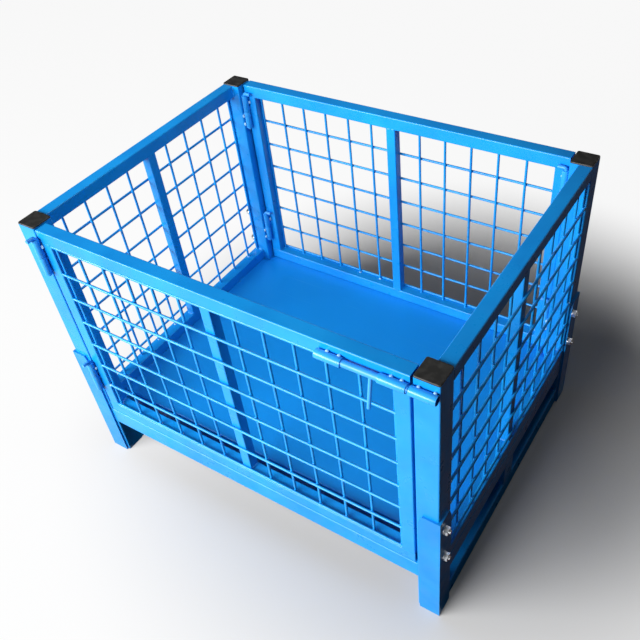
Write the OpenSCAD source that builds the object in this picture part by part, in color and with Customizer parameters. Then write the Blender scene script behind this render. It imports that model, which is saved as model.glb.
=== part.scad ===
// Steel wire mesh container on legs: a front gate on lift-out hinge pins with a slide bolt,
// a lift-off back panel, two fixed end panels and a sheet floor over a fork pocket.
// Millimetres, +Z up. The origin is on the floor under the middle of the whole outline, and
// the gate is on the -Y side. Most places are given from the front left corner of the posts.

/* [Overall] */
// Width over the corner posts
body_w = 800; // [640:5:960]
// Depth over the corner posts
body_d = 600; // [480:5:720]
// Height from the floor to the tops of the post caps
body_h = 600; // [500:5:720]

/* [Posts and base] */
// Side of the square tube of the posts, base rails, cross rails and runners
post_s = 40; // [33:1:48]
// Wall of that tube
post_wall = 2; // [1.5:0.5:3]
// Clear height for forks under the base rails
fork_h = 95; // [78:1:114]
// Distance of each cross rail's centre from the middle of the depth
cross_out = 90; // [60:5:130]
// Thickness of the floor sheet
floor_t = 2; // [1:0.5:4]
// Open slot between the front base rail and the floor sheet
floor_slot = 15; // [6:1:20]
// Depth to which the floor sheet's front edge is folded down
floor_fold = 40; // [12:1:40]
// Inset of the floor sheet's other edges from the outer faces
floor_inset = 1; // [0.5:0.5:4]
// Thickness of a post cap above its post
cap_t = 3; // [2:0.5:6]
// Depth of a post cap's plug inside its post
plug_h = 12; // [6:1:25]

/* [Legs] */
// Thickness of the angle of each leg
leg_t = 4; // [3:0.5:6]
// Height of the leg angles
leg_h = 291; // [245:1:350]
// Distance of each flange's free edge from the post's far corner
leg_back = 5; // [4:0.5:12]
// Width of the corner cut off the top of each flange
leg_cut_w = 7; // [3:1:12]
// Height of the corner cut off the top of each flange
leg_cut_h = 19; // [8:1:30]

/* [Leg fasteners] */
// Diameter of the bolts
bolt_d = 8; // [6:1:10]
// Width across the flats of heads and nuts
nut_af = 13; // [11:1:17]
// Height of a bolt head
head_h = 5.3; // [4:0.1:7]
// Height of a nut
nut_h = 6.5; // [5:0.5:8]
// Diameter of a washer
washer_d = 16; // [14:1:20]
// Thickness of a washer
washer_t = 1.6; // [1:0.2:2.4]
// Length of bolt that shows past its nut
stud_past = 3; // [2:0.5:10]
// Distance of the upper bolt below the top of the leg
bolt_down = 30.5; // [25:0.5:50]
// Spacing of the two bolts of a leg
bolt_step = 77; // [50:1:90]
// Distance of the bolts behind the front face of their post
bolt_in = 11.5; // [10.5:0.5:16]

/* [Panel frames] */
// Side of the square tube of the gate, back panel and end panel rails
panel_s = 25; // [20:1:30]
// Wall of the panel tubes
panel_wall = 1.5; // [1:0.25:2.5]
// Side of the square tube of the centre stiles
stile_s = 20; // [16:1:24]
// Gap between a post and the gate or back panel
side_gap = 3.7; // [2:0.1:6]
// Gap between the base rails and the gate or back panel
under_gap = 3; // [2.5:0.5:8]
// Distance of the gate's and back panel's top below the post tops
top_gap = 0.5; // [0:0.5:5]

/* [Mesh] */
// Thickness of the mesh wires
wire_d = 5; // [4:0.25:6]
// Depth to which crossing wires are welded into each other
wire_sink = 0.4; // [0.2:0.1:0.8]
// Gap between an edge wire and the frame beside it
edge_gap = 0.4; // [0.2:0.1:1]
// Wanted spacing of the upright wires of the gate and back panel
column_pitch = 55; // [40:1:70]
// Spacing of the level wires of the gate and back panel, from the bottom up
row_pitch = 57.1; // [40:0.1:70]
// Spacing of the upright wires of the end panels, from the middle out
end_column_pitch = 55.3; // [40:0.1:70]
// Spacing of the level wires of the end panels, from the top down
end_row_pitch = 55.9; // [40:0.1:70]

/* [Hinges] */
// Diameter of the hinge barrels
barrel_d = 13; // [11:0.5:16]
// Diameter of the hinge pins
pin_d = 7; // [5.5:0.5:8]
// Radial clearance of pins in barrels
pin_play = 0.05; // [0.03:0.01:0.1]
// Length of one knuckle
knuckle_l = 36.8; // [30:0.1:44]
// Gap between the two knuckles of a hinge
knuckle_gap = 0.4; // [0.3:0.1:1]
// Clearance between moving pieces that almost touch
clear = 0.3; // [0.25:0.05:0.6]
// Height of the gate's lower hinge above the gate's lower edge
gate_hinge_up = 70.5; // [50:0.5:90]
// Distance of the gate's upper hinge below the gate's top
gate_hinge_down = 15; // [10:0.5:30]
// Height of the back panel's lower hinges above its lower edge
back_hinge_up = 60.5; // [50:0.5:90]
// Distance of the back panel's upper hinges below its top
back_hinge_down = 20; // [10:0.5:30]
// Length of pin below its hinge
pin_below = 3; // [1:0.5:8]
// Reach of a pin's bent arm from the hinge axis
arm_l = 15; // [10:0.5:16]

/* [Slide bolt] */
// Diameter of the sliding bar
bar_d = 11; // [9:0.5:13.5]
// Length of the bar
bar_l = 132.5; // [115:0.5:150]
// Radial clearance of the bar in its tubes
bar_play = 0.1; // [0.05:0.01:0.1]
// Wall of the guide and keeper tubes
guide_wall = 1.9; // [1.5:0.1:3]
// Length of each guide tube
guide_l = 42; // [36:1:52]
// Space between the guide tubes
guide_space = 57; // [45:1:66]
// Distance of the bolt's axis below the top of the gate
bolt_drop = 16.5; // [14:0.5:18]
// Distance between the withdrawn bar and the keeper
bar_short = 1; // [0.8:0.1:3]
// Depth of the locked bar in the keeper
bar_engage = 7.5; // [6:0.5:20]
// Diameter of the handle rod
handle_d = 6; // [5:0.5:8]
// Length of the handle rod from the bolt's axis
handle_l = 58; // [48:1:68]
// Angle by which the handle's foot stands off the gate
handle_tilt = 11; // [0:1:25]

/* [Hidden] */
$fn = 48;
PAINT = "dodgerblue";
ZINC = "lightgray";
PLASTIC = "#2a2a28";
SIDES = 8;                                    // flat sides of a mesh wire
LEFT = -1;
RIGHT = 1;
FRONT = -1;
BACK = 1;

base_top = fork_h + post_s;
floor_top = base_top + floor_t;
post_h = body_h - cap_t;
inner_w = body_w - 2 * post_s;
inner_d = body_d - 2 * post_s;
leg_edge = post_s - leg_back;
bolt_heights = [leg_h - bolt_down, leg_h - bolt_down - bolt_step];

panel_x0 = post_s + side_gap;
panel_x1 = body_w - post_s - side_gap;
panel_w = panel_x1 - panel_x0;
panel_z0 = base_top + under_gap;
panel_z1 = post_h - top_gap;
open_z0 = panel_z0 + panel_s;
open_z1 = panel_z1 - panel_s;
end_z0 = floor_top + panel_s;
end_z1 = post_h - panel_s;

// Mesh wires: the edge wires' centres lie this far inside the frame.
edge_in = wire_d / 2 + edge_gap;
half_columns = round((panel_w / 2 - panel_s - edge_in) / column_pitch);
column_step = (panel_w / 2 - panel_s - edge_in) / half_columns;
row_count = round((open_z1 - open_z0 - 2 * edge_in) / row_pitch);
end_half_columns = floor((inner_d / 2 - edge_in - 2 * wire_d) / end_column_pitch);
end_row_count = floor((end_z1 - end_z0 - edge_in) / end_row_pitch);

// Hinges: the axes lie off the faces by a barrel's radius and the clearance.
axis_off = barrel_d / 2 + clear;
hinge_l = 2 * knuckle_l + knuckle_gap;
gate_hinges = [panel_z0 + gate_hinge_up, panel_z1 - gate_hinge_down - hinge_l];
back_hinges = [panel_z0 + back_hinge_up, panel_z1 - back_hinge_down - hinge_l];
weld_l = 12;
front_axis_x = post_s + side_gap / 2;
arm_bend = pin_d / 2 + clear;

// Slide bolt, at rest with the bar just clear of the keeper.
guide_r = bar_d / 2 + bar_play + guide_wall;
bolt_y = -guide_r - 0.1;
bolt_z = panel_z1 - bolt_drop;
right_guide_x = panel_x1 - clear - guide_l;
left_guide_x = right_guide_x - guide_space - guide_l;
keeper_x = body_w - post_s;
bar_x1 = keeper_x - bar_short;
handle_gap = 0.4;
handle_x = right_guide_x - handle_gap - handle_d / 2 - bar_short - bar_engage;

// The outline reaches from the front pin arms to the back legs.
y_mid = (body_d + leg_t - axis_off - arm_l) / 2;

// ---- Places ----

// From the front left corner of the posts
module at(x, y, z) {
    translate([x - body_w / 2, y - y_mid, z]) children();
}

// From the outer corner of one post, x and y running inwards
module at_corner(side, end) {
    translate([side * body_w / 2, (end == BACK ? body_d : 0) - y_mid, 0])
        mirror([side == RIGHT ? 1 : 0, 0, 0])
            mirror([0, end == BACK ? 1 : 0, 0])
                children();
}

// From the front end of one outer side, x running inwards
module at_side(side) {
    translate([side * body_w / 2, -y_mid, 0])
        mirror([side == RIGHT ? 1 : 0, 0, 0])
            children();
}

// From the left end of the front or back face, y running inwards
module at_face(end) {
    translate([-body_w / 2, (end == BACK ? body_d : 0) - y_mid, 0])
        mirror([0, end == BACK ? 1 : 0, 0])
            children();
}

// From the lower end of a gate hinge's axis, x running towards the gate
module at_gate_hinge(z) {
    at_face(FRONT) translate([front_axis_x, -axis_off, z]) children();
}

// From the lower end of a back hinge's axis, x running towards the middle, y inwards
module at_back_hinge(side, z) {
    at_face(BACK)
        translate([body_w / 2 + side * (body_w / 2 - post_s - axis_off), panel_s + axis_off, z])
            mirror([side == RIGHT ? 1 : 0, 0, 0])
                children();
}

// ---- Shapes ----

module rounded_square(s, r) {
    translate([r, 0]) square([s - 2 * r, s]);
    translate([0, r]) square([s, s - 2 * r]);
    for (x = [r, s - r], y = [r, s - r]) translate([x, y]) circle(r);
}

// Square tube with rounded edges along Z, X or Y
module tube_z(s, wall, length) {
    linear_extrude(length) difference() {
        rounded_square(s, wall + 0.5);
        translate([wall, wall]) square(s - 2 * wall);
    }
}

module tube_x(s, wall, length) {
    rotate([90, 0, 90]) tube_z(s, wall, length);
}

module tube_y(s, wall, length) {
    translate([0, length, 0]) rotate([90, 0, 0]) tube_z(s, wall, length);
}

// Straight mesh wire along Z with its flats square to X and Y
module wire(length) {
    rotate(180 / SIDES) cylinder(d = wire_d / cos(180 / SIDES), h = length, $fn = SIDES);
}

// Welded mesh in the XZ plane: level wires outermost, upright wires just inside them
module mesh(columns, rows, x0, x1, z0, z1) {
    for (z = rows)
        translate([x0, wire_d / 2, z]) rotate([0, 90, 0]) wire(x1 - x0);
    for (x = columns)
        translate([x, wire_d * 1.5 - wire_sink, z0]) wire(z1 - z0);
}

// Tube round Z with a bore, welded to a face at +Y by fillets on its +X side
module sleeve(r_out, r_bore, length, off, reach, welds) {
    difference() {
        union() {
            cylinder(r = r_out, h = length);
            for (z = welds)
                translate([0, off, z])
                    linear_extrude(weld_l)
                        polygon([[0.3 * r_out, 0], [reach, 0], [0.88 * r_out, -0.6 * r_out],
                                 [0.55 * r_out, -0.45 * r_out]]);
        }
        translate([0, 0, -1]) cylinder(r = r_bore, h = length + 2);
    }
}

module knuckle(reach, welds) {
    sleeve(barrel_d / 2, pin_d / 2 + pin_play, knuckle_l, axis_off, reach, welds);
}

// Hinge pin up through both knuckles, bent over at the top along +X
module pin() {
    translate([0, 0, -pin_below]) cylinder(d = pin_d, h = hinge_l + pin_below);
    translate([arm_bend, 0, hinge_l])
        rotate([90, 0, 0])
            rotate(90)
                rotate_extrude(angle = 90) translate([arm_bend, 0]) circle(d = pin_d);
    translate([arm_bend, 0, hinge_l + arm_bend])
        rotate([0, 90, 0])
            cylinder(d = pin_d, h = arm_l - arm_bend);
}

function bolt_from_corner(end) = end == FRONT ? bolt_in : post_s - bolt_in;

// Places each child along a leg bolt's axis, +Z pointing out of the container
module at_leg_bolts() {
    for (side = [LEFT, RIGHT], end = [FRONT, BACK], z = bolt_heights)
        at_corner(side, end) translate([0, bolt_from_corner(end), z]) rotate([0, -90, 0]) children();
}

module bolt_holes(end) {
    for (z = bolt_heights)
        translate([post_wall + 1, bolt_from_corner(end), z])
            rotate([0, -90, 0])
                cylinder(d = bolt_d + 2 * clear, h = post_wall + leg_t + 2);
}

module hexagon(height) {
    cylinder(d = nut_af / cos(30), h = height, $fn = 6);
}

// ---- Base ----

module base_long_rail(y) {
    color(PAINT) at(post_s, y, fork_h) tube_x(post_s, post_wall, inner_w);
}

module base_side_rail(x) {
    color(PAINT) at(x, post_s, fork_h) tube_y(post_s, post_wall, inner_d);
}

// The front edge is folded down between the side base rails.
module floor_sheet() {
    color(PAINT) {
        at(0, 0, base_top) linear_extrude(floor_t) difference() {
            translate([floor_inset, post_s + floor_slot])
                square([body_w - 2 * floor_inset, body_d - floor_inset - post_s - floor_slot]);
            for (x = [0, body_w - post_s - clear])
                translate([x, body_d - post_s - clear]) square(post_s + clear);
        }
        at(post_s + clear, post_s + floor_slot, floor_top - floor_fold)
            cube([inner_w - 2 * clear, floor_t, floor_fold - floor_t / 2]);
    }
}

// Skid along the floor at one side, from leg to leg
module runner(side) {
    color(PAINT) at_side(side) translate([0, post_s, 0]) tube_y(post_s, post_wall, inner_d);
}

module runner_support(side) {
    color(PAINT) at_side(side)
        translate([0, (body_d - post_s) / 2, post_s])
            tube_z(post_s, post_wall, fork_h - post_s);
}

// ---- Posts and legs ----

module post(side, end) {
    color(PAINT) at_corner(side, end) difference() {
        tube_z(post_s, post_wall, post_h);
        bolt_holes(end);
    }
}

// One flange of a leg in the XZ plane, from y = 0 outwards
module flange() {
    rotate([90, 0, 0])
        linear_extrude(leg_t)
            polygon([[-leg_t, 0], [leg_edge, 0], [leg_edge, leg_h - leg_cut_h],
                     [leg_edge - leg_cut_w, leg_h], [-leg_t, leg_h]]);
}

module leg(side, end) {
    color(PAINT) at_corner(side, end) difference() {
        union() {
            flange();
            mirror([1, -1, 0]) flange();
        }
        bolt_holes(end);
    }
}

module post_caps() {
    plug_s = post_s - 2 * post_wall - 2 * clear;
    color(PLASTIC) for (side = [LEFT, RIGHT], end = [FRONT, BACK]) at_corner(side, end) {
        translate([(post_s - plug_s) / 2, (post_s - plug_s) / 2, post_h - plug_h])
            cube([plug_s, plug_s, plug_h + 0.5]);
        translate([0, 0, post_h]) linear_extrude(cap_t * 0.7) rounded_square(post_s, post_wall + 0.5);
        translate([0.8, 0.8, post_h]) linear_extrude(cap_t) rounded_square(post_s - 1.6, post_wall + 0.5);
    }
}

module leg_bolts() {
    color(ZINC) at_leg_bolts() {
        translate([0, 0, -post_wall - head_h]) hexagon(head_h);
        translate([0, 0, -post_wall])
            cylinder(d = bolt_d, h = post_wall + leg_t + washer_t + nut_h + stud_past);
    }
}

module leg_washers() {
    color(ZINC) at_leg_bolts() translate([0, 0, leg_t]) difference() {
        cylinder(d = washer_d, h = washer_t);
        translate([0, 0, -1]) cylinder(d = bolt_d + 2 * clear, h = washer_t + 2);
    }
}

module leg_nuts() {
    color(ZINC) at_leg_bolts() translate([0, 0, leg_t + washer_t]) difference() {
        hexagon(nut_h);
        translate([0, 0, -1]) cylinder(d = bolt_d + 2 * pin_play, h = nut_h + 2);
    }
}

// ---- End panels ----

module end_rail(side, z) {
    color(PAINT) at_side(side) translate([0, post_s, z]) tube_y(panel_s, panel_wall, inner_d);
}

module end_stile(side) {
    color(PAINT) at_side(side)
        translate([wire_d, (body_d - stile_s) / 2, end_z0])
            tube_z(stile_s, panel_wall, end_z1 - end_z0);
}

module end_mesh(side) {
    columns = concat(
        [post_s + edge_in, body_d - post_s - edge_in],
        [for (k = [1 : end_half_columns], way = [-1, 1]) body_d / 2 + way * k * end_column_pitch]);
    rows = [for (k = [1 : end_row_count]) end_z1 - k * end_row_pitch];
    color(PAINT) at_side(side) mirror([1, -1, 0])
        mesh(columns, rows, post_s, body_d - post_s, end_z0, end_z1);
}

// ---- Gate and back panel ----

module panel_rail(end, z) {
    color(PAINT) at_face(end) translate([panel_x0, 0, z]) tube_x(panel_s, panel_wall, panel_w);
}

module panel_stile(end, x) {
    color(PAINT) at_face(end)
        translate([x, 0, open_z0])
            tube_z(panel_s, panel_wall, open_z1 - open_z0);
}

module centre_stile(end) {
    color(PAINT) at_face(end)
        translate([(body_w - stile_s) / 2, wire_d, open_z0])
            tube_z(stile_s, panel_wall, open_z1 - open_z0);
}

module panel_mesh(end) {
    columns = [for (k = [1 : half_columns], way = [-1, 1]) body_w / 2 + way * k * column_step];
    rows = concat([for (k = [0 : row_count - 1]) open_z0 + edge_in + k * row_pitch],
                  [open_z1 - edge_in]);
    color(PAINT) at_face(end)
        mesh(columns, rows, panel_x0 + panel_s, panel_x1 - panel_s, open_z0, open_z1);
}

// ---- Hinges ----

module gate_knuckles() {
    color(PAINT) for (z = gate_hinges)
        at_gate_hinge(z + knuckle_l + knuckle_gap)
            knuckle(1.4 * barrel_d / 2, [(knuckle_l - weld_l) / 2]);
}

module gate_post_knuckles() {
    color(PAINT) for (z = gate_hinges)
        at_gate_hinge(z)
            mirror([1, 0, 0])
                knuckle(front_axis_x - leg_edge - clear, [1, knuckle_l - weld_l - 1]);
}

module gate_pin(z) {
    color(PAINT) at_gate_hinge(z) rotate(-90) pin();
}

module back_knuckles() {
    color(PAINT) for (side = [LEFT, RIGHT], z = back_hinges)
        at_back_hinge(side, z + knuckle_l + knuckle_gap)
            mirror([0, 1, 0])
                knuckle(1.4 * barrel_d / 2, [(knuckle_l - weld_l) / 2]);
}

module back_post_knuckles() {
    color(PAINT) for (side = [LEFT, RIGHT], z = back_hinges)
        at_back_hinge(side, z)
            rotate(90)
                knuckle(barrel_d / 2, [1, knuckle_l - weld_l - 1]);
}

module back_pin(side, z) {
    color(PAINT) at_back_hinge(side, z) pin();
}

// ---- Slide bolt ----

module bolt_tube(x, length) {
    translate([x + length, bolt_y, bolt_z])
        rotate([0, -90, 0])
            sleeve(guide_r, bar_d / 2 + bar_play, length, -bolt_y, 1.2 * guide_r,
                   [3, length - weld_l - 3]);
}

module bolt_guides() {
    color(PAINT) at_face(FRONT) {
        bolt_tube(left_guide_x, guide_l);
        bolt_tube(right_guide_x, guide_l);
    }
}

module bolt_keeper() {
    color(PAINT) at_face(FRONT) bolt_tube(keeper_x, post_s);
}

module bolt_bar() {
    color(PAINT) at_face(FRONT) translate([bar_x1 - bar_l, bolt_y, bolt_z]) rotate([0, 90, 0]) {
        cylinder(d1 = bar_d - 2, d2 = bar_d, h = 1);
        translate([0, 0, 1]) cylinder(d = bar_d, h = bar_l - 2);
        translate([0, 0, bar_l - 1]) cylinder(d1 = bar_d, d2 = bar_d - 2, h = 1);
    }
}

// Rod that hangs from the bar, its top end hollowed to lie against the bar
module bolt_handle() {
    color(PAINT) at_face(FRONT) translate([handle_x, bolt_y, bolt_z])
        rotate([-handle_tilt, 0, 0]) difference() {
            translate([0, 0, -handle_l]) {
                cylinder(d1 = handle_d - 2, d2 = handle_d, h = 1);
                translate([0, 0, 1]) cylinder(d = handle_d, h = handle_l - 4);
            }
            translate([-handle_d, 0, 0])
                rotate([0, 90, 0])
                    cylinder(r = bar_d / 2 + pin_play, h = 2 * handle_d);
        }
}

base_long_rail(0);  // base_front_rail
base_long_rail(body_d - post_s);  // base_back_rail
base_side_rail(0);  // base_left_rail
base_side_rail(body_w - post_s);  // base_right_rail
base_long_rail((body_d - post_s) / 2 - cross_out);  // cross_rail_front
base_long_rail((body_d - post_s) / 2 + cross_out);  // cross_rail_back
floor_sheet();
runner(LEFT);  // left_runner
runner(RIGHT);  // right_runner
runner_support(LEFT);  // left_runner_support
runner_support(RIGHT);  // right_runner_support
post(LEFT, FRONT);  // post_front_left
post(RIGHT, FRONT);  // post_front_right
post(LEFT, BACK);  // post_back_left
post(RIGHT, BACK);  // post_back_right
leg(LEFT, FRONT);  // leg_front_left
leg(RIGHT, FRONT);  // leg_front_right
leg(LEFT, BACK);  // leg_back_left
leg(RIGHT, BACK);  // leg_back_right
post_caps();
leg_bolts();
leg_washers();
leg_nuts();
end_rail(LEFT, end_z1);  // left_top_rail
end_rail(LEFT, floor_top);  // left_bottom_rail
end_stile(LEFT);  // left_centre_stile
end_mesh(LEFT);  // left_mesh
end_rail(RIGHT, end_z1);  // right_top_rail
end_rail(RIGHT, floor_top);  // right_bottom_rail
end_stile(RIGHT);  // right_centre_stile
end_mesh(RIGHT);  // right_mesh
panel_rail(FRONT, open_z1);  // gate_top_rail
panel_rail(FRONT, panel_z0);  // gate_bottom_rail
panel_stile(FRONT, panel_x0);  // gate_hinge_stile
panel_stile(FRONT, panel_x1 - panel_s);  // gate_lock_stile
centre_stile(FRONT);  // gate_centre_stile
panel_mesh(FRONT);  // gate_mesh
gate_knuckles();
gate_post_knuckles();
gate_pin(gate_hinges[1]);  // gate_pin_top
gate_pin(gate_hinges[0]);  // gate_pin_bottom
bolt_guides();
bolt_bar();
bolt_handle();
bolt_keeper();
panel_rail(BACK, open_z1);  // back_top_rail
panel_rail(BACK, panel_z0);  // back_bottom_rail
panel_stile(BACK, panel_x0);  // back_left_stile
panel_stile(BACK, panel_x1 - panel_s);  // back_right_stile
centre_stile(BACK);  // back_centre_stile
panel_mesh(BACK);  // back_mesh
back_knuckles();
back_post_knuckles();
back_pin(LEFT, back_hinges[1]);  // back_pin_left_top
back_pin(LEFT, back_hinges[0]);  // back_pin_left_bottom
back_pin(RIGHT, back_hinges[1]);  // back_pin_right_top
back_pin(RIGHT, back_hinges[0]);  // back_pin_right_bottom
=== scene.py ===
import math

import bmesh
import bpy
from mathutils import Matrix, Vector, noise


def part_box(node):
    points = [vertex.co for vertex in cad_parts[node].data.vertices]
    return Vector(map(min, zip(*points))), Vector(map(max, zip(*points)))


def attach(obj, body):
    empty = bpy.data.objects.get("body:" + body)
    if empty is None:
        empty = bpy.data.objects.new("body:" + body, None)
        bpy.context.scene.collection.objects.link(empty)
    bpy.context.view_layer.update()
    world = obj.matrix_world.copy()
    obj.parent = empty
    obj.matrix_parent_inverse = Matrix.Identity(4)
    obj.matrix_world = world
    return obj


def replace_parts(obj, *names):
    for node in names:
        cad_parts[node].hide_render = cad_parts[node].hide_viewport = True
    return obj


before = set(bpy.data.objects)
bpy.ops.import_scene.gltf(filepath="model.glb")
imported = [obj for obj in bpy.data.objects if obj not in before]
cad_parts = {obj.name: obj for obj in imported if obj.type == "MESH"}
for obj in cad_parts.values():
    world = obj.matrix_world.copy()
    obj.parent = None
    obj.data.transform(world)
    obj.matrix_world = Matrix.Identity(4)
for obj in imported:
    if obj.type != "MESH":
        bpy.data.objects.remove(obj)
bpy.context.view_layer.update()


# ---- Square tube: base rails, skids, posts and panel frames ----
# Cold rolled mild steel tube with rounded edges, sawn square and welded up at every joint.
# The whole container was then sprayed and stoved blue, so the coat runs over every piece.

MM = 0.001
TUBE_NODES = [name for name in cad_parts
              if name.endswith(("_rail", "_runner", "_support", "_stile"))
              or name.startswith(("cross_rail_", "post_front_", "post_back_"))]
ENAMEL_THIN = "#098ADE"
ENAMEL = "#0D93E6"
ENAMEL_THICK = "#149BEC"


def linear(hex_colour):
    """Linear RGBA of an sRGB hex colour."""
    parts = [int(hex_colour[i:i + 2], 16) / 255 for i in (1, 3, 5)]
    return [p / 12.92 if p <= 0.04045 else ((p + 0.055) / 1.055) ** 2.4 for p in parts] + [1]


def add_node(material, kind, values={}, links={}, **settings):
    """Adds one node, with its settings, its sockets' values, and the outputs that feed its sockets."""
    node = material.node_tree.nodes.new(kind)
    for name, value in settings.items():
        setattr(node, name, value)
    for socket, value in values.items():
        node.inputs[socket].default_value = value
    for socket, source in links.items():
        material.node_tree.links.new(source, node.inputs[socket])
    return node


def new_material(name):
    """An empty material."""
    material = bpy.data.materials.new(name)
    material.use_nodes = True
    material.node_tree.nodes.clear()
    return material


def stoved_enamel(name, thin, coat, thick, peel, peel_depth, roughness):
    """Sprayed and stoved alkyd enamel: one glossy coloured skin that is a little deeper where it ran
    thick, duller where hands and gloves have been, and pimpled like orange peel."""
    material = new_material(name)
    place = add_node(material, "ShaderNodeTexCoord").outputs["Object"]
    # Thick and thin runs of the coat are about 90 mm across.
    runs = add_node(material, "ShaderNodeTexNoise", {"Scale": 1 / (90 * MM), "Detail": 3.0},
                    {"Vector": place})
    colour = add_node(material, "ShaderNodeValToRGB", links={"Fac": runs.outputs["Fac"]})
    colour.color_ramp.elements[0].position = 0.3
    colour.color_ramp.elements[0].color = linear(thin)
    colour.color_ramp.elements[1].position = 0.7
    colour.color_ramp.elements[1].color = linear(thick)
    colour.color_ramp.elements.new(0.5).color = linear(coat)
    # Handled patches are about 25 mm across.
    handled = add_node(material, "ShaderNodeTexNoise", {"Scale": 1 / (25 * MM), "Detail": 4.0},
                       {"Vector": place})
    gloss = add_node(material, "ShaderNodeMapRange",
                     {"From Min": 0.35, "From Max": 0.7,
                      "To Min": roughness - 0.05, "To Max": roughness + 0.1},
                     {"Value": handled.outputs["Fac"]})
    pimples = add_node(material, "ShaderNodeTexNoise", {"Scale": 1 / peel, "Detail": 1.0},
                       {"Vector": place})
    skin = add_node(material, "ShaderNodeBump", {"Strength": 0.5, "Distance": peel_depth},
                    {"Height": pimples.outputs["Fac"]})
    enamel = add_node(material, "ShaderNodeBsdfPrincipled",
                      {"IOR": 1.5},
                      {"Base Color": colour.outputs["Color"], "Roughness": gloss.outputs["Result"],
                       "Normal": skin.outputs["Normal"]})
    add_node(material, "ShaderNodeOutputMaterial", links={"Surface": enamel.outputs["BSDF"]})
    return material


def finish_nodes(material, names):
    """Gives CAD nodes one finish."""
    for name in names:
        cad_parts[name].data.materials.clear()
        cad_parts[name].data.materials.append(material)


# Rolled tube is smooth, so its coat has a fine peel, and its gloss shows soft streaks of light.
tube_enamel = stoved_enamel("blue stoved enamel on rolled tube", ENAMEL_THIN, ENAMEL, ENAMEL_THICK,
                            peel=2.5 * MM, peel_depth=0.05 * MM, roughness=0.32)
finish_nodes(tube_enamel, TUBE_NODES)


# ---- Leg angles ----
# Hot rolled equal angle, 4 mm thick, bent round the outside of each post from the floor up.
# Mill scale under the coat leaves it coarser and a little duller than the tube.

LEG_NODES = [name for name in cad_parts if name.startswith(("leg_front_", "leg_back_"))]
angle_enamel = stoved_enamel("blue stoved enamel on hot rolled angle", "#0A82D2", "#0C8ADA", "#1192E2",
                             peel=4 * MM, peel_depth=0.1 * MM, roughness=0.37)
finish_nodes(angle_enamel, LEG_NODES)


# ---- Floor sheet ----
# Cold rolled steel sheet, 2 mm thick, laid on the base rails and notched round the back posts.
# Its front edge is folded down, its middle sags a little, and goods dragged over it scratched it.

FLOOR_T = 2 * MM
FOLD_R = 3.5 * MM
FLOOR_MARGIN = 36 * MM
FLOOR_SAG = 0.9 * MM
FLOOR_WAVES = 0.5 * MM
FLOOR_WAVE_RATE = 7
FLOOR_CELL = 12 * MM
NOTCH_GAP = 0.3 * MM
FOLD_STEPS = 5


def new_piece(name, shape, material, body, sharp=35, spots=None):
    """An object made of a bmesh, smooth but for edges sharper than so many degrees, riding on a body.
    Faces marked as spots are given the second material."""
    mesh = bpy.data.meshes.new(name)
    shape.to_mesh(mesh)
    shape.free()
    mesh.polygons.foreach_set("use_smooth", [True] * len(mesh.polygons))
    mesh.set_sharp_from_angle(angle=math.radians(sharp))
    mesh.materials.append(material)
    if spots:
        mesh.materials.append(spots)
    piece = bpy.data.objects.new(name, mesh)
    bpy.context.scene.collection.objects.link(piece)
    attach(piece, body)
    return piece


def steps(start, end, size):
    """Even steps from start to end, each about one size long."""
    count = max(1, round(abs(end - start) / size))
    return [start + (end - start) * i / count for i in range(count + 1)]


floor_low, floor_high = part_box("floor_sheet")
notch_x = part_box("post_back_right")[0].x - NOTCH_GAP
notch_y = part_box("post_back_right")[0].y - NOTCH_GAP
floor_x = (steps(floor_low.x, -notch_x, FLOOR_CELL)[:-1] + steps(-notch_x, notch_x, FLOOR_CELL)
           + steps(notch_x, floor_high.x, FLOOR_CELL)[1:])
floor_y = (steps(floor_low.y + FOLD_R, notch_y, FLOOR_CELL)
           + steps(notch_y, floor_high.y, FLOOR_CELL)[1:])


def floor_top(x, y):
    """Height of the sheet: flat at the margin, then down a soft step with slow waves beyond it."""
    inset = min(x - floor_low.x, floor_high.x - x, y - floor_low.y, floor_high.y - y)
    down = min(1, max(0, inset / FLOOR_MARGIN - 1))
    ease = down * down * (3 - 2 * down)
    wave = noise.noise(Vector((FLOOR_WAVE_RATE * x, FLOOR_WAVE_RATE * y, 3)))
    return floor_high.z - ease * (FLOOR_SAG + FLOOR_WAVES * wave)


sheet = bmesh.new()
sheet_points = {(x, y): sheet.verts.new((x, y, floor_top(x, y))) for x in floor_x for y in floor_y}
for x0, x1 in zip(floor_x, floor_x[1:]):
    for y0, y1 in zip(floor_y, floor_y[1:]):
        if y0 < notch_y or -notch_x <= x0 < notch_x:
            sheet.faces.new([sheet_points[corner] for corner in ((x0, y0), (x1, y0), (x1, y1), (x0, y1))])
bmesh.ops.delete(sheet, geom=[v for v in sheet.verts if not v.link_faces], context="VERTS")

# Between the side rails the front edge runs round the fold and down. Over those rails it lies flat.
fold = [(floor_low.y + FOLD_R * (1 - math.sin(turn)), floor_high.z - FOLD_R * (1 - math.cos(turn)))
        for turn in (math.pi / 2 * i / FOLD_STEPS for i in range(FOLD_STEPS + 1))]
fold += [(floor_low.y, z) for z in steps(floor_high.z - FOLD_R, floor_low.z, FLOOR_CELL)[1:]]
for x0, x1 in zip(floor_x, floor_x[1:]):
    path = fold if -notch_x <= x0 < notch_x else [fold[0], (floor_low.y, floor_high.z)]
    for (y0, z0), (y1, z1) in zip(path, path[1:]):
        sheet.faces.new([sheet.verts.new(corner) for corner in (
            (x0, y1, z1), (x1, y1, z1), (x1, y0, z0), (x0, y0, z0))])
bmesh.ops.remove_doubles(sheet, verts=sheet.verts, dist=0.01 * MM)

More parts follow.
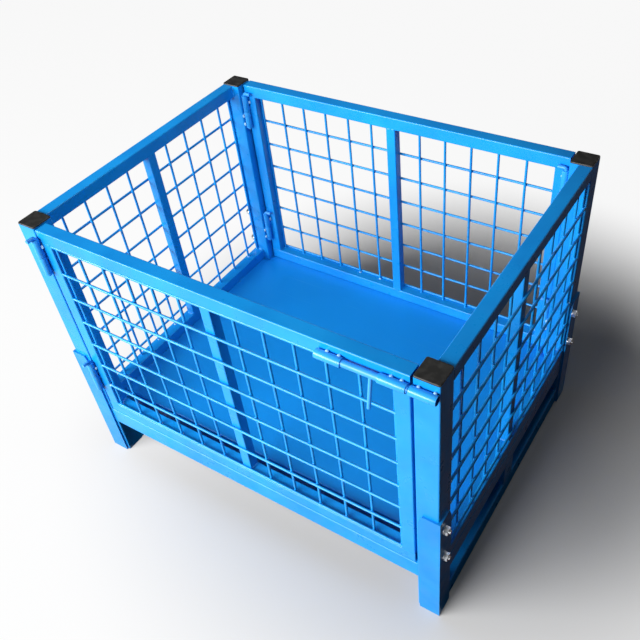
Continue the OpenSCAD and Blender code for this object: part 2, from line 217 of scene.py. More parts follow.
# Goods slide over the sheet, so its enamel is duller than the tube's and crossed by fine pale drags.
sheet_enamel = new_material("blue stoved enamel on cold rolled sheet")
sheet_place = add_node(sheet_enamel, "ShaderNodeTexCoord").outputs["Object"]
sheet_runs = add_node(sheet_enamel, "ShaderNodeTexNoise", {"Scale": 1 / (200 * MM), "Detail": 3.0},
                      {"Vector": sheet_place})
sheet_colour = add_node(sheet_enamel, "ShaderNodeMixRGB",
                        {"Color1": linear("#0B8DE4"), "Color2": linear("#1196EC")},
                        {"Fac": sheet_runs.outputs["Fac"]})
# Drag marks are up to 250 mm long and drawn 3 mm wide so that they show.
drag_turn = add_node(sheet_enamel, "ShaderNodeMapping",
                     {"Rotation": (0, 0, math.radians(35)), "Scale": (1 / (250 * MM), 1 / (3 * MM), 1)},
                     {"Vector": sheet_place})
drag_noise = add_node(sheet_enamel, "ShaderNodeTexNoise", {"Scale": 1.0, "Detail": 2.0},
                      {"Vector": drag_turn.outputs["Vector"]})
drag_mask = add_node(sheet_enamel, "ShaderNodeMapRange",
                     {"From Min": 0.66, "From Max": 0.78, "To Min": 0.0, "To Max": 0.3},
                     {"Value": drag_noise.outputs["Fac"]})
sheet_worn = add_node(sheet_enamel, "ShaderNodeMixRGB", {"Color2": linear("#5DB4F4")},
                      {"Fac": drag_mask.outputs["Result"], "Color1": sheet_colour.outputs["Color"]})
sheet_pimples = add_node(sheet_enamel, "ShaderNodeTexNoise", {"Scale": 1 / (3 * MM), "Detail": 1.0},
                         {"Vector": sheet_place})
sheet_skin = add_node(sheet_enamel, "ShaderNodeBump", {"Strength": 0.5, "Distance": 0.04 * MM},
                      {"Height": sheet_pimples.outputs["Fac"]})
sheet_shader = add_node(sheet_enamel, "ShaderNodeBsdfPrincipled", {"IOR": 1.5, "Roughness": 0.36},
                        {"Base Color": sheet_worn.outputs["Color"], "Normal": sheet_skin.outputs["Normal"]})
add_node(sheet_enamel, "ShaderNodeOutputMaterial", links={"Surface": sheet_shader.outputs["BSDF"]})

floor_piece = new_piece("floor_sheet_sagged", sheet, sheet_enamel, "frame")
thickness = floor_piece.modifiers.new("sheet thickness", "SOLIDIFY")
thickness.thickness = FLOOR_T
thickness.offset = -1
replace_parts(floor_piece, "floor_sheet")


# ---- Welded wire mesh ----
# Drawn steel wire, 5 mm thick, spot welded at each crossing, with the level wires on the outside.
# Each cut end butts against the tube and is tacked to it. The wires are never quite straight.

WIRE_R = 2.5 * MM
WIRE_SINK = 0.4 * MM
WIRE_SIDES = 12
WIRE_STEP = 14 * MM
WIRE_WAVE = 0.8 * MM
TACK_R = 3.2 * MM
SPOT_R = 2.9 * MM
SPOT_DEPTH = 1.9 * MM
ACROSS = Vector((1, 0, 0))
BACKWARD = Vector((0, 1, 0))
UP = Vector((0, 0, 1))

# Drawn wire is the smoothest steel here, and its thin round coat catches a line of light. Its blue is a
# little paler than the tube's, painted to stand for that light.
lightened_wire_enamel = stoved_enamel("blue stoved enamel on drawn wire, painted paler", "#0E90E1", "#149AEA", "#1CA4F0",
                            peel=3 * MM, peel_depth=0.04 * MM, roughness=0.28)

# A pale blue on the crest of a tack is a painted glint, standing in for the highlight a small glossy lump
# of weld catches.
painted_glint = stoved_enamel("pale blue enamel painting a glint on a tack", "#8CC4EE", "#A6D3F3", "#C4E2F6",
                          peel=1.5 * MM, peel_depth=0.06 * MM, roughness=0.3)


def rod(shape, centres, radii, along, sides, hollow=False):
    """Rings round an axis joined into a bar: closed at both ends, or its last ring to its first."""
    right = along.orthogonal().normalized()
    ahead = along.normalized().cross(right)
    turns = [2 * math.pi * i / sides for i in range(sides)]
    rings = [[shape.verts.new(centre + radius * (math.cos(turn) * right + math.sin(turn) * ahead))
              for turn in turns] for centre, radius in zip(centres, radii)]
    for ring, after in zip(rings, rings[1:] + rings[:1] if hollow else rings[1:]):
        for i in range(sides):
            j = (i + 1) % sides
            shape.faces.new((ring[i], ring[j], after[j], after[i]))
    if not hollow:
        shape.faces.new(rings[0][::-1])
        shape.faces.new(rings[-1])


def lump(shape, centre, size, spot=False):
    """A small uneven lump of weld metal, with a half size along each axis."""
    made = bmesh.ops.create_icosphere(shape, subdivisions=2, radius=1)
    for vert in made["verts"]:
        swell = 1 + 0.22 * noise.noise(1.4 * vert.co + 900 * centre)
        vert.co = centre + Vector([swell * part * half for part, half in zip(vert.co, size)])
        for face in vert.link_faces:
            face.material_index = int(spot)


# A noise vector starts from the clock unless it is seeded, and would bend the wires anew on each run.
WIRE_SEED = 1
noise.seed_set(WIRE_SEED)


def wire(shape, start, end):
    """A wire from start to end, drifting out of straight a little between its two held ends."""
    length = (end - start).length
    along = (end - start).normalized()
    centres = []
    for reach in steps(0, length, WIRE_STEP):
        free = math.sqrt(max(0, math.sin(math.pi * reach / length)))
        drift = noise.noise_vector(4 * (start + reach * along) + 50 * start)
        centres.append(start + reach * along + free * WIRE_WAVE * (drift - drift.dot(along) * along))
    rod(shape, centres, [WIRE_R] * len(centres), along, WIRE_SIDES)
    # Some end tacks, picked at random, carry the pale painted glint.
    for held in (start, end):
        lump(shape, held, [TACK_R] * 3, spot=noise.noise(700 * held) > 0.1)


def wire_mesh(node, body, columns, rows, along, inward):
    """Level wires at the outer face and upright wires just inside them, spot welded where they cross."""
    low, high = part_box(node)
    outer = max(low.dot(-inward), high.dot(-inward))
    level_depth = (WIRE_R - outer) * inward
    upright_depth = (3 * WIRE_R - WIRE_SINK - outer) * inward
    shape = bmesh.new()
    for row in rows:
        wire(shape, level_depth + low.dot(along) * along + row * UP,
             level_depth + high.dot(along) * along + row * UP)
    for column in columns:
        wire(shape, upright_depth + column * along + low.z * UP,
             upright_depth + column * along + high.z * UP)
    flat = [SPOT_R - (SPOT_R - SPOT_DEPTH) * abs(part) for part in inward]
    for row in rows:
        for column in columns:
            lump(shape, (level_depth + upright_depth) / 2 + column * along + row * UP, flat)
    wires = new_piece(node + "_wires", shape, lightened_wire_enamel, body, sharp=60, spots=painted_glint)
    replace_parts(wires, node)


# The last level wire lies close under the top rail.
FACE_COLUMN_PITCH = 54.733
FACE_ROW_PITCH = 57.1
FACE_COLUMNS = [way * k * FACE_COLUMN_PITCH * MM for way in (-1, 1) for k in range(1, 7)]
FACE_ROWS = [(165.9 + FACE_ROW_PITCH * k) * MM for k in range(7)] + [568.6 * MM]
wire_mesh("gate_mesh", "gate", FACE_COLUMNS, FACE_ROWS, ACROSS, BACKWARD)
wire_mesh("back_mesh", "back_panel", FACE_COLUMNS, FACE_ROWS, ACROSS, -BACKWARD)

# End panels have a wire close beside each post.
MIDDLE_Y = 8.9
END_COLUMN_PITCH = 55.3
END_ROW_PITCH = 55.9
END_COLUMNS = [(MIDDLE_Y + way * k * END_COLUMN_PITCH) * MM for way in (-1, 1) for k in range(1, 5)]
END_COLUMNS += [-248.2 * MM, 266.0 * MM]
END_ROWS = [(572 - END_ROW_PITCH * k) * MM for k in range(1, 8)]
wire_mesh("left_mesh", "frame", END_COLUMNS, END_ROWS, BACKWARD, ACROSS)
wire_mesh("right_mesh", "frame", END_COLUMNS, END_ROWS, BACKWARD, -ACROSS)


# ---- Weld beads at the tube joints ----
# Mild steel run in with a wire-fed torch: a rounded, rippled fillet in each inside corner.
# Joints that lie flush on an outside face were ground level, and only a faint ridge is left.

BEAD_R = 2.4
RIDGE_R = 2.2
RIPPLE = 2.4 * MM
BEAD_STEP = 0.8 * MM
BEAD_SIDES = 10

# Weld metal is lumpy, and the coat pools round its ripples and shines.
weld_enamel = stoved_enamel("blue stoved enamel on weld metal", ENAMEL_THIN, ENAMEL, ENAMEL_THICK,
                            peel=1.5 * MM, peel_depth=0.12 * MM, roughness=0.27)

# Seams at the front left corner of the base and end panel, in millimetres: from, to, bead radius.
# A ridge's middle line is 1.85 mm below its face.
CORNER_SEAMS = [
    # Front base rail to post.
    ((-360, -289.2, 96), (-360, -289.2, 134), RIDGE_R),
    ((-360, -289, 95), (-360, -253, 95), BEAD_R),
    ((-360, -289, 135), (-360, -253, 135), BEAD_R),
    ((-360, -251.1, 96), (-360, -251.1, 134), BEAD_R),
    # Side base rail to post.
    ((-398.1, -251.1, 96), (-398.1, -251.1, 134), RIDGE_R),
    ((-398, -251.1, 95), (-362, -251.1, 95), BEAD_R),
    # Skid to post.
    ((-398.1, -251.1, 2), (-398.1, -251.1, 38), RIDGE_R),
    ((-361.9, -251.1, 2), (-361.9, -251.1, 38), RIDGE_R),
    ((-398, -251.1, 40), (-362, -251.1, 40), BEAD_R),
    # Skid support to skid and to base rail.
    ((-398, -11.1, 40), (-362, -11.1, 40), BEAD_R),
    ((-398, -11.1, 95), (-362, -11.1, 95), BEAD_R),
    ((-398.1, -9, 40), (-398.1, 8.9, 40), RIDGE_R),
    ((-398.1, -9, 95), (-398.1, 8.9, 95), RIDGE_R),
    ((-361.9, -9, 40), (-361.9, 8.9, 40), RIDGE_R),
    ((-361.9, -9, 95), (-361.9, 8.9, 95), RIDGE_R),
    # Cross rail to side base rail.
    ((-360, -101.1, 97), (-360, -101.1, 133), BEAD_R),
    ((-360, -61.1, 97), (-360, -61.1, 133), BEAD_R),
    ((-360, -99, 96.9), (-360, -63, 96.9), RIDGE_R),
    # End panel's rails to post.
    ((-375, -251.1, 573), (-375, -251.1, 595), BEAD_R),
    ((-398, -251.1, 572), (-377, -251.1, 572), BEAD_R),
    ((-398.1, -251.1, 573), (-398.1, -251.1, 595), RIDGE_R),
    ((-375, -251.1, 139), (-375, -251.1, 161), BEAD_R),
    ((-398, -251.1, 162), (-377, -251.1, 162), BEAD_R),
    ((-398.1, -251.1, 139), (-398.1, -251.1, 161), RIDGE_R),
    # Centre stile to end panel's rails.
    ((-393, -1.1, 162), (-377, -1.1, 162), BEAD_R),
    ((-393, -1.1, 572), (-377, -1.1, 572), BEAD_R),
    ((-395, 0.5, 162), (-395, 8.9, 162), BEAD_R),
    ((-395, 0.5, 572), (-395, 8.9, 572), BEAD_R),
    ((-376.9, 0.5, 162), (-376.9, 8.9, 162), RIDGE_R),
    ((-376.9, 0.5, 572), (-376.9, 8.9, 572), RIDGE_R),
    # Stitches from end panel's bottom rail to floor sheet.
    ((-375, -170, 137), (-375, -145, 137), 2),
    ((-375, -60, 137), (-375, -35, 137), 2),
]

# Seams at the lower left corner of the gate.
GATE_SEAMS = [
    ((-331.3, -289, 163), (-331.3, -268, 163), BEAD_R),
    ((-354, -289.2, 163), (-333.5, -289.2, 163), RIDGE_R),
    ((-354, -268, 163), (-333.5, -268, 163), RIDGE_R),
    ((-354.4, -289, 163), (-354.4, -268, 163), RIDGE_R),
    ((-10, -284, 163), (-10, -268, 163), BEAD_R),
    ((-8.5, -286.1, 163), (0, -286.1, 163), BEAD_R),
    ((-8.5, -268, 163), (0, -268, 163), RIDGE_R),
]
PANEL_BOTTOM = 163
PANEL_TOP = 571.5


def bead(shape, start, end, radius):
    """A rippled bar of weld metal along a seam, rounded off where the torch started and stopped."""
    along = (end - start).normalized()
    length = (end - start).length
    centres = []
    radii = []
    for reach in steps(0, length, BEAD_STEP):
        ripple = 0.9 + 0.1 * abs(math.sin(math.pi * reach / RIPPLE))
        uneven = 1 + 0.15 * noise.noise(60 * (start + reach * along))
        stop = min(1, (min(reach, length - reach) + 0.2 * MM) / radius)
        centres.append(start + reach * along)
        radii.append(radius * ripple * uneven * math.sqrt(1 - (1 - stop) ** 2))
    rod(shape, centres, radii, along, BEAD_SIDES)


def weld_corners(name, seams, body, ways_back, heights):
    """The same seams at the mirrored corners, left and right and, where asked, back or other height."""
    shape = bmesh.new()
    for way_across in (-1, 1):
        for way_back in ways_back:
            for height in heights:
                for start, end, radius in seams:
                    ends = [Vector((-way_across * x, MIDDLE_Y + way_back * (y - MIDDLE_Y), height(z))) * MM
                            for x, y, z in (start, end)]
                    bead(shape, ends[0], ends[1], radius * MM)
    new_piece(name, shape, weld_enamel, body, sharp=60)


def same_height(z):
    """A seam stays at its own height."""
    return z


def top_joint(z):
    """A seam at the panel's bottom rail is made again at its top rail."""
    return z + PANEL_TOP - PANEL_BOTTOM


weld_corners("frame_welds", CORNER_SEAMS, "frame", (1, -1), (same_height,))
weld_corners("gate_welds", GATE_SEAMS, "gate", (1,), (same_height, top_joint))
weld_corners("back_panel_welds", GATE_SEAMS, "back_panel", (-1,), (same_height, top_joint))


# ---- Hinges ----
# Turned steel barrels, 13 mm across, in pairs: the lower one welded to the post, the upper one
# to the panel. A loose 7 mm pin drops through both, its top bent over so that it can be pulled.

BARREL_R = 6.5 * MM
BARREL_BORE = 3.8 * MM
BARREL_LENGTH = 36.8 * MM
BARREL_GAP = 0.4 * MM
MOUTH = 0.7 * MM
GATE_FEET = (208.5 * MM, 507.5 * MM)
BACK_FEET = (198.5 * MM, 502.5 * MM)
BARREL_SIDES = 40
PIN_R = 3.5 * MM
WELD_REACHES = (2 * MM, 25.8 * MM)
WELD_LENGTH = 9 * MM
WELD_R = 1.9 * MM
POST_TACKS = (9 * MM, 28 * MM)
PANEL_TACKS = (20 * MM,)
TACK_HALVES = (2.8 * MM, 2.8 * MM, 4 * MM)

# Barrels are dipped with the frame, and the coat is thin and glossy on their turned walls. Their blue, and
# that of the bolt tubes sharing it, is paler than the tube's: painted light for what these small round
# parts miss on their shaded sides.
lightened_turned_enamel = stoved_enamel("blue stoved enamel on turned steel, painted paler", "#1E96EA", "#2A9EEF", "#38A7F3",
                              peel=2 * MM, peel_depth=0.03 * MM, roughness=0.28)


def barrel(shape, foot, along, length, outer, bore):
    """A tube with its outer and inner mouths eased, from its foot along an axis."""
    profile = [(MOUTH, outer), (length - MOUTH, outer), (length - 0.25 * MOUTH, outer - 0.25 * MOUTH),
               (length, outer - MOUTH), (length, bore + 0.5 * MOUTH), (length - 0.5 * MOUTH, bore),
               (0.5 * MOUTH, bore), (0, bore + 0.5 * MOUTH), (0, outer - MOUTH),
               (0.25 * MOUTH, outer - 0.25 * MOUTH)]
    rod(shape, [foot + reach * along for reach, radius in profile], [radius for reach, radius in profile],
        along, BARREL_SIDES, hollow=True)


def hinge_barrels(name, body, axes, feet, lift, faces, tacks, replaced):
    """One barrel on each axis at each hinge's foot, with short welds down each side of it and tacks
    on its open side."""
    shape = bmesh.new()
    for (x, y), (face, side, open_side) in zip(axes, faces):
        for foot in feet:
            base = Vector((x, y, foot + lift))
            barrel(shape, base, UP, BARREL_LENGTH, BARREL_R, BARREL_BORE)
            for way in (-1, 1):
                seat = base + (BARREL_R - 0.6 * MM) * face + way * 3.4 * MM * side
                for reach in WELD_REACHES:
                    bead(shape, seat + reach * UP, seat + (reach + WELD_LENGTH) * UP, WELD_R)
            corner = base + (BARREL_R - 1.2 * MM) * face + open_side * 6.6 * MM * side
            # These tacks carry the pale painted glint.
            for reach in tacks:
                lump(shape, corner + reach * UP, TACK_HALVES, spot=True)
    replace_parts(new_piece(name, shape, lightened_turned_enamel, body, spots=painted_glint), replaced)


pin_low, pin_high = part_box("gate_pin_top")
gate_axis = ((pin_low.x + pin_high.x) / 2, pin_high.y - PIN_R)
back_y = (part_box("back_pin_left_top")[0].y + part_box("back_pin_left_top")[1].y) / 2
back_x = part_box("back_pin_right_top")[1].x - PIN_R
upper = BARREL_LENGTH + BARREL_GAP
hinge_barrels("gate_post_barrels", "frame", [gate_axis], GATE_FEET, 0, [(BACKWARD, ACROSS, -1)],
              POST_TACKS, "gate_post_knuckles")
hinge_barrels("gate_barrels", "gate", [gate_axis], GATE_FEET, upper, [(BACKWARD, ACROSS, 1)],
              PANEL_TACKS, "gate_knuckles")
hinge_barrels("back_post_barrels", "frame", [(-back_x, back_y), (back_x, back_y)], BACK_FEET, 0,
              [(-ACROSS, BACKWARD, -1), (ACROSS, BACKWARD, -1)], POST_TACKS, "back_post_knuckles")
hinge_barrels("back_panel_barrels", "back_panel", [(-back_x, back_y), (back_x, back_y)], BACK_FEET, upper,
              [(BACKWARD, ACROSS, 1), (BACKWARD, ACROSS, -1)], PANEL_TACKS, "back_knuckles")

# Pins are drawn rod, lifted in and out often, so the coat has rubbed to a duller sheen. Their blue, and the
# bolt bar's and handle's, is paler than the tube's: painted light for their shaded sides.
lightened_rubbed_enamel = stoved_enamel("blue stoved enamel on rubbed rod, painted paler", "#2A94EC", "#369DF0", "#54AEF4",
                              peel=3 * MM, peel_depth=0.03 * MM, roughness=0.38)
finish_nodes(lightened_rubbed_enamel, [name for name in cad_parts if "_pin_" in name])


# ---- Slide bolt ----
# A drawn bar, 11 mm thick, slides in two short tubes welded to the gate's top rail and enters a
# third on the post. A thin rod welded under the bar hangs down as its handle.

GUIDE_R = 7.5 * MM
GUIDE_BORE = 5.9 * MM
BOLT_Y = -298.7 * MM
BOLT_Z = 580 * MM
GUIDE_SPANS = ((215, 257), (314, 356))
KEEPER_SPANS = ((360, 400),)
GUIDE_TACKS = (231, 250, 330, 346)
KEEPER_TACKS = (370, 394)


def bolt_tubes(name, body, spans, tacks, replaced):
    """Tubes along the slide bolt's axis, tacked to the face behind them above and below."""
    shape = bmesh.new()
    for start, end in spans:
        barrel(shape, Vector((start * MM, BOLT_Y, BOLT_Z)), ACROSS, (end - start) * MM, GUIDE_R, GUIDE_BORE)
        below = Vector((start * MM, BOLT_Y + 6.2 * MM, BOLT_Z - 5 * MM))
        bead(shape, below + 4 * MM * ACROSS, below + (end - start - 4) * MM * ACROSS, 2.2 * MM)
    # These tacks carry the pale painted glint.
    for x in tacks:
        lump(shape, Vector((x * MM, BOLT_Y + 5.2 * MM, BOLT_Z + 5.4 * MM)), (3 * MM, 3.6 * MM, 2.4 * MM),
             spot=True)
    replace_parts(new_piece(name, shape, lightened_turned_enamel, body, spots=painted_glint), replaced)


bolt_tubes("bolt_guide_tubes", "gate", GUIDE_SPANS, GUIDE_TACKS, "bolt_guides")
bolt_tubes("bolt_keeper_tube", "frame", KEEPER_SPANS, KEEPER_TACKS, "bolt_keeper")
finish_nodes(lightened_rubbed_enamel, ["bolt_bar", "bolt_handle"])


# ---- Leg bolts ----
# M8 steel screws with hexagon heads inside the post, each with a washer and a nut outside the leg.
# They went in after painting and are bright zinc plated.

BOLT_HEIGHTS = (183.5 * MM, 260.5 * MM)
BOLT_IN = 11.5 * MM
LEG_FACE = 404 * MM
HEX_FLATS = 13 * MM
NUT_HEIGHT = 6.5 * MM
WASHER_R = 8 * MM
WASHER_T = 1.6 * MM
STUD_R = 4 * MM
THREAD_PITCH = 1.25 * MM
THREAD_DEPTH = 0.65 * MM
HEAD_HEIGHT = 5.3 * MM
CLAMPED = 6 * MM
EDGE = 0.3 * MM
WASHER_BORE = 4.3 * MM
WASHER_SIDES = 40
SCREW_SIDES = 32
HEX_SIDES = 48

# Zinc plate is a bluish grey metal, semi-bright, with a soft mottle from the barrel it was plated in.
zinc_plate = new_material("bright zinc plate on turned steel")
zinc_place = add_node(zinc_plate, "ShaderNodeTexCoord").outputs["Object"]
zinc_mottle = add_node(zinc_plate, "ShaderNodeTexNoise", {"Scale": 1 / (4 * MM), "Detail": 3.0},
                       {"Vector": zinc_place})
zinc_colour = add_node(zinc_plate, "ShaderNodeMixRGB",
                       {"Color1": linear("#CFD4D9"), "Color2": linear("#F0F2F4")},
                       {"Fac": zinc_mottle.outputs["Fac"]})
zinc_gloss = add_node(zinc_plate, "ShaderNodeMapRange", {"To Min": 0.22, "To Max": 0.42},
                      {"Value": zinc_mottle.outputs["Fac"]})
zinc_shader = add_node(zinc_plate, "ShaderNodeBsdfPrincipled", {"Metallic": 1.0},
                       {"Base Color": zinc_colour.outputs["Color"],
                        "Roughness": zinc_gloss.outputs["Result"]})
add_node(zinc_plate, "ShaderNodeOutputMaterial", links={"Surface": zinc_shader.outputs["BSDF"]})


def hexagon(shape, foot, along, height, bore):
    """A hexagon with both ends turned to a cone, corners up and down, and a bore unless that is zero."""
    turns = [2 * math.pi * i / HEX_SIDES for i in range(HEX_SIDES)]
    ahead = along.cross(UP)
    cone = HEX_FLATS * 0.475
    rings = []
    for end, reach_in, sign in ((0, 0, 1), (0, 1, 1), (height, 1, -1), (height, 0, -1)):
        ring = []
        for turn in turns:
            corner = HEX_FLATS / 2 / math.cos((turn + math.pi / 3) % (math.pi / 3) - math.pi / 6)
            radius = corner if reach_in else cone
            reach = end + sign * reach_in * (corner - cone) * math.tan(math.radians(30))
            ring.append(shape.verts.new(foot + reach * along
                                        + radius * (math.cos(turn) * UP + math.sin(turn) * ahead)))
        rings.append(ring)
    for end in (height, 0) if bore else ():
        rings.append([shape.verts.new(foot + end * along
                                      + bore * (math.cos(turn) * UP + math.sin(turn) * ahead))
                      for turn in turns])
    for ring, after in zip(rings, rings[1:] + rings[:1] if bore else rings[1:]):
        for i in range(HEX_SIDES):
            shape.faces.new((ring[i], ring[(i + 1) % HEX_SIDES], after[(i + 1) % HEX_SIDES], after[i]))
    if not bore:
        shape.faces.new(rings[0][::-1])
        shape.faces.new(rings[-1])


screws = bmesh.new()
washers = bmesh.new()
nuts = bmesh.new()
bolt_low, bolt_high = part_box("leg_bolts")
bolt_rows = (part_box("post_front_left")[0].y + BOLT_IN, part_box("post_back_left")[0].y + BOLT_IN)
for outward in (-ACROSS, ACROSS):
    for y in bolt_rows:
        for z in BOLT_HEIGHTS:
            leg_face = Vector((outward.x * LEG_FACE, y, z))
            reaches = [0, EDGE, WASHER_T - EDGE, WASHER_T, WASHER_T, 0]
            radii = [WASHER_R - EDGE, WASHER_R, WASHER_R, WASHER_R - EDGE, WASHER_BORE, WASHER_BORE]
            rod(washers, [leg_face + reach * outward for reach in reaches], radii, outward,
                WASHER_SIDES, hollow=True)
            hexagon(nuts, leg_face + WASHER_T * outward, outward, NUT_HEIGHT, STUD_R + 0.15 * MM)
            head_face = leg_face - CLAMPED * outward
            hexagon(screws, head_face - HEAD_HEIGHT * outward, outward, HEAD_HEIGHT, 0)
            tip = abs(bolt_high.x if outward.x > 0 else bolt_low.x) - LEG_FACE + CLAMPED
            turns = steps(4 * MM, tip - THREAD_PITCH, THREAD_PITCH / 2)
            reaches = [0] + turns + [tip - 0.6 * MM, tip]
            radii = [STUD_R] + [STUD_R - THREAD_DEPTH * (i % 2) for i in range(len(turns))]
            radii += [STUD_R - EDGE, STUD_R - THREAD_DEPTH - EDGE]
            rod(screws, [head_face + reach * outward for reach in reaches], radii, outward, SCREW_SIDES)
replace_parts(new_piece("leg_screws", screws, zinc_plate, "frame", sharp=28), "leg_bolts")
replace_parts(new_piece("leg_flat_washers", washers, zinc_plate, "frame"), "leg_washers")
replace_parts(new_piece("leg_hex_nuts", nuts, zinc_plate, "frame", sharp=20), "leg_nuts")


# ---- Post caps ----
# Moulded black polyethylene plugs pressed into the open tops of the posts.
# The head covers the tube's cut end, with an eased rim and a top that sank a little as it cooled.

CAP_T = 3 * MM
CAP_CORNER = 3.5 * MM
CAP_SINK = 0.35 * MM
PLUG_DEPTH = 12 * MM
PLUG_INSET = 2.4 * MM
CORNER_PARTS = 6

# Moulded polyethylene is a soft black that is never quite matt, and it scuffs grey where it is knocked.
cap_plastic = new_material("black moulded polyethylene")
cap_place = add_node(cap_plastic, "ShaderNodeTexCoord").outputs["Object"]
cap_scuffs = add_node(cap_plastic, "ShaderNodeTexNoise", {"Scale": 1 / (12 * MM), "Detail": 5.0},
                      {"Vector": cap_place})
cap_colour = add_node(cap_plastic, "ShaderNodeValToRGB", links={"Fac": cap_scuffs.outputs["Fac"]})
cap_colour.color_ramp.elements[0].position = 0.45
cap_colour.color_ramp.elements[0].color = linear("#232322")
cap_colour.color_ramp.elements[1].position = 0.75
cap_colour.color_ramp.elements[1].color = linear("#3E3D3B")
cap_grain = add_node(cap_plastic, "ShaderNodeTexNoise", {"Scale": 1 / (1.2 * MM), "Detail": 2.0},
                     {"Vector": cap_place})
cap_skin = add_node(cap_plastic, "ShaderNodeBump", {"Strength": 0.4, "Distance": 0.04 * MM},
                    {"Height": cap_grain.outputs["Fac"]})
cap_shader = add_node(cap_plastic, "ShaderNodeBsdfPrincipled", {"IOR": 1.51, "Roughness": 0.48},
                      {"Base Color": cap_colour.outputs["Color"], "Normal": cap_skin.outputs["Normal"]})
add_node(cap_plastic, "ShaderNodeOutputMaterial", links={"Surface": cap_shader.outputs["BSDF"]})


def square_ring(shape, middle, half, corner, height):
    """A ring of points round a square with rounded corners."""
    ring = []
    for quarter in range(4):
        for part in range(CORNER_PARTS):
            turn = math.pi / 2 * (quarter + part / (CORNER_PARTS - 1))
            centre_turn = math.pi / 2 * (quarter + 0.5)
            hub = (half - corner) * math.sqrt(2)
            ring.append(shape.verts.new((
                middle.x + hub * math.cos(centre_turn) + corner * math.cos(turn),
                middle.y + hub * math.sin(centre_turn) + corner * math.sin(turn), height)))
    return ring


caps = bmesh.new()
for post in ("post_front_left", "post_front_right", "post_back_left", "post_back_right"):
    post_low, post_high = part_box(post)
    middle = (post_low + post_high) / 2
    half = (post_high.x - post_low.x) / 2
    seat = post_high.z
    rings = [square_ring(caps, middle, half - inset, max(0.8 * MM, CAP_CORNER - inset), seat + height)
             for inset, height in (
                 (PLUG_INSET + 1.5 * MM, -PLUG_DEPTH), (PLUG_INSET, -PLUG_DEPTH + 1.5 * MM),
                 (PLUG_INSET, -0.1 * MM), (0.6 * MM, -0.1 * MM), (0, 0.3 * MM), (0, CAP_T - 1.2 * MM),
                 (0.3 * MM, CAP_T - 0.5 * MM), (0.9 * MM, CAP_T - 0.1 * MM), (1.8 * MM, CAP_T),
                 (3.2 * MM, CAP_T - 0.05 * MM), (7 * MM, CAP_T - 0.6 * CAP_SINK),
                 (13 * MM, CAP_T - CAP_SINK))]
    for ring, after in zip(rings, rings[1:]):
        for i in range(4 * CORNER_PARTS):
            j = (i + 1) % (4 * CORNER_PARTS)
            caps.faces.new((ring[i], ring[j], after[j], after[i]))
    caps.faces.new(rings[0][::-1])
    caps.faces.new(rings[-1])
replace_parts(new_piece("post_cap_plugs", caps, cap_plastic, "frame"), "post_caps")


# ---- Floor, light and camera ----
# A plain pale floor and a pale wall, soft boxes round the container, and a dark sheet beside it that only
# reflections see, a painted dark reflection.
# None of these belongs to the container.

GROUND_REACH = 8
ground = bpy.data.objects.new("ground", bpy.data.meshes.new("ground"))
ground_shape = bmesh.new()
bmesh.ops.create_grid(ground_shape, x_segments=1, y_segments=1, size=GROUND_REACH)
ground_shape.to_mesh(ground.data)
ground_shape.free()
bpy.context.scene.collection.objects.link(ground)
ground.location.z = -0.5 * MM

# The floor glows white for what looks at it straight, except in a fixed ellipse under and right of the
# container, a painted shadow pool where only its lit diffuse paint shows. To bounced light it is dark grey,
# so it throws little light back onto the container.
GLOW = 0.92
SHADOW_MIDDLE = (0.16, 0.18, 0)
SHADOW_REACH = (0.52, 0.52, 1)
ground_paint = new_material("pale floor paint with painted shadow pool")
seen = add_node(ground_paint, "ShaderNodeLightPath")
seen_or_glossy = add_node(ground_paint, "ShaderNodeMath", links={
    0: seen.outputs["Is Camera Ray"], 1: seen.outputs["Is Glossy Ray"]}, operation="MAXIMUM")
seen_at_all = add_node(ground_paint, "ShaderNodeMath", links={
    0: seen_or_glossy.outputs["Value"], 1: seen.outputs["Is Transmission Ray"]}, operation="MAXIMUM")
ground_colour = add_node(ground_paint, "ShaderNodeMixRGB",
                         {"Color1": linear("#3A3A3A"), "Color2": linear("#D0D0D0")},
                         {"Fac": seen_at_all.outputs["Value"]})
ground_diffuse = add_node(ground_paint, "ShaderNodeBsdfDiffuse",
                          links={"Color": ground_colour.outputs["Color"]})
ground_glow = add_node(ground_paint, "ShaderNodeEmission", {"Color": (1, 1, 1, 1)})
ground_place = add_node(ground_paint, "ShaderNodeTexCoord").outputs["Object"]
off_shadow = add_node(ground_paint, "ShaderNodeMapping", {"Location": SHADOW_MIDDLE, "Scale": SHADOW_REACH},
                      {"Vector": ground_place}, vector_type="TEXTURE")
shadow_reach = add_node(ground_paint, "ShaderNodeVectorMath", links={0: off_shadow.outputs["Vector"]},
                        operation="LENGTH")
glow_by_reach = add_node(ground_paint, "ShaderNodeMapRange",
                         {"From Min": 0.85, "From Max": 1.75, "To Min": 0.0, "To Max": GLOW},
                         {"Value": shadow_reach.outputs["Value"]}, interpolation_type="SMOOTHSTEP")
glow_share = add_node(ground_paint, "ShaderNodeMath", links={
    0: seen_at_all.outputs["Value"], 1: glow_by_reach.outputs["Result"]}, operation="MULTIPLY")
ground_shader = add_node(ground_paint, "ShaderNodeMixShader", links={
    0: glow_share.outputs["Value"], 1: ground_diffuse.outputs["BSDF"], 2: ground_glow.outputs["Emission"]})
add_node(ground_paint, "ShaderNodeOutputMaterial", links={"Surface": ground_shader.outputs["Shader"]})
ground.data.materials.append(ground_paint)


def soft_box(name, place, aim, width, height, power):
    """A large soft lamp at a place, facing a point."""
    lamp = bpy.data.lights.new(name, "AREA")
    lamp.shape = "RECTANGLE"
    lamp.size = width
    lamp.size_y = height
    lamp.energy = power
    lit = bpy.data.objects.new(name, lamp)
    bpy.context.scene.collection.objects.link(lit)
    lit.location = place
    lit.rotation_euler = (Vector(aim) - Vector(place)).to_track_quat("-Z", "Y").to_euler()
    return lit


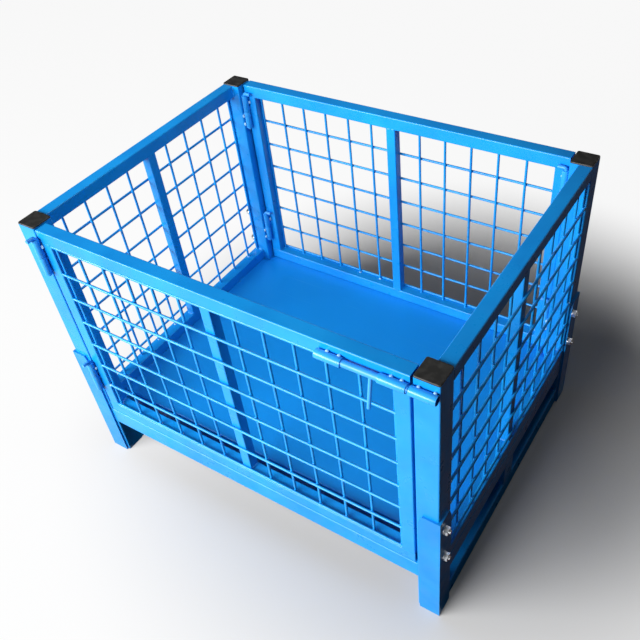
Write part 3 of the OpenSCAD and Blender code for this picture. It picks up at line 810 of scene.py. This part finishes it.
soft_box("front left soft box", (-1.4, -3.0, 1.6), (0, 0, 0.35), 3.6, 1.6, 286)
inner_box = soft_box("overhead soft box", (0.14, 0, 1.35), (-0.38, 0.05, 0.3), 0.4, 0.9, 1.2)
inner_box.data.spread = math.radians(80)
soft_box("low back fill", (0.6, 3.8, 0.4), (0, 0, 0.3), 2.4, 0.7, 17)

# A sheet under the container and right of it, unseen itself and seen only in reflection, is a painted dark
# reflection that keeps the shaded faces dark: black under the container, and right of it a dim warm brown
# glow that tints them.
reflection_sheet = bpy.data.objects.new("black flag", bpy.data.meshes.new("black flag"))
reflection_sheet.data.from_pydata([(-0.36, -0.28, 0), (0.42, -0.28, 0), (0.42, 0.3, 0), (-0.36, 0.3, 0),
                       (0.42, -0.5, 0), (1.9, -0.5, 0), (1.9, 2.6, 0), (0.42, 2.6, 0),
                       (-0.355, -0.325, 0), (0.33, -0.325, 0), (0.33, -0.28, 0), (-0.355, -0.28, 0)],
                      [], [(0, 1, 2, 3), (4, 5, 6, 7), (8, 9, 10, 11)])
bpy.context.scene.collection.objects.link(reflection_sheet)
reflection_sheet.visible_camera = False
reflection_sheet.visible_diffuse = False
reflection_sheet.visible_shadow = False
for reflection_name, reflection_colour in (("black cloth", "#000000"), ("dark brown cloth", "#42302A")):
    reflection_material = new_material(reflection_name)
    painted_reflection = add_node(reflection_material, "ShaderNodeEmission", {"Color": linear(reflection_colour)})
    add_node(reflection_material, "ShaderNodeOutputMaterial", links={"Surface": painted_reflection.outputs["Emission"]})
    reflection_sheet.data.materials.append(reflection_material)
reflection_sheet.data.polygons[1].material_index = 1

# The wall behind everything is white to look at, but lights the container only a little.
WALL_LIGHT = 0.02
WALL_GLINT = 0.06
world = bpy.data.worlds.new("studio")
bpy.context.scene.world = world
world.use_nodes = True
world.node_tree.nodes.clear()
world_seen = add_node(world, "ShaderNodeLightPath")
world_glint = add_node(world, "ShaderNodeMath", {1: WALL_GLINT, 2: WALL_LIGHT},
                       {0: world_seen.outputs["Is Glossy Ray"]}, operation="MULTIPLY_ADD")
world_in_sight = add_node(world, "ShaderNodeMath", links={
    0: world_seen.outputs["Is Camera Ray"], 1: world_seen.outputs["Is Transmission Ray"]},
                          operation="MAXIMUM")
world_strength = add_node(world, "ShaderNodeMath", links={
    0: world_glint.outputs["Value"], 1: world_in_sight.outputs["Value"]}, operation="MAXIMUM")
pale_wall = add_node(world, "ShaderNodeBackground", {"Color": (1, 1, 1, 1)},
                     {"Strength": world_strength.outputs["Value"]})
add_node(world, "ShaderNodeOutputWorld", links={"Surface": pale_wall.outputs["Background"]})

CAMERA_PLACE = Vector((0.68314, -0.86152, 1.30437))
CAMERA_AIM = Vector((0.04627, -0.00349, 0.3))
CAMERA_ROLL = math.radians(-6.394)
forward = (CAMERA_AIM - CAMERA_PLACE).normalized()
level = forward.cross(UP).normalized()
camera_right = math.cos(CAMERA_ROLL) * level + math.sin(CAMERA_ROLL) * level.cross(forward)
camera_up = camera_right.cross(forward)
lens = bpy.data.cameras.new("camera")
lens.lens = 42.61
lens.sensor_width = 36
lens.shift_x = -0.0357
lens.shift_y = 0.0147
camera = bpy.data.objects.new("camera", lens)
bpy.context.scene.collection.objects.link(camera)
camera.matrix_world = Matrix((camera_right, camera_up, -forward)).transposed().to_4x4()
camera.location = CAMERA_PLACE
bpy.context.scene.camera = camera
bpy.context.scene.view_settings.view_transform = "Standard"
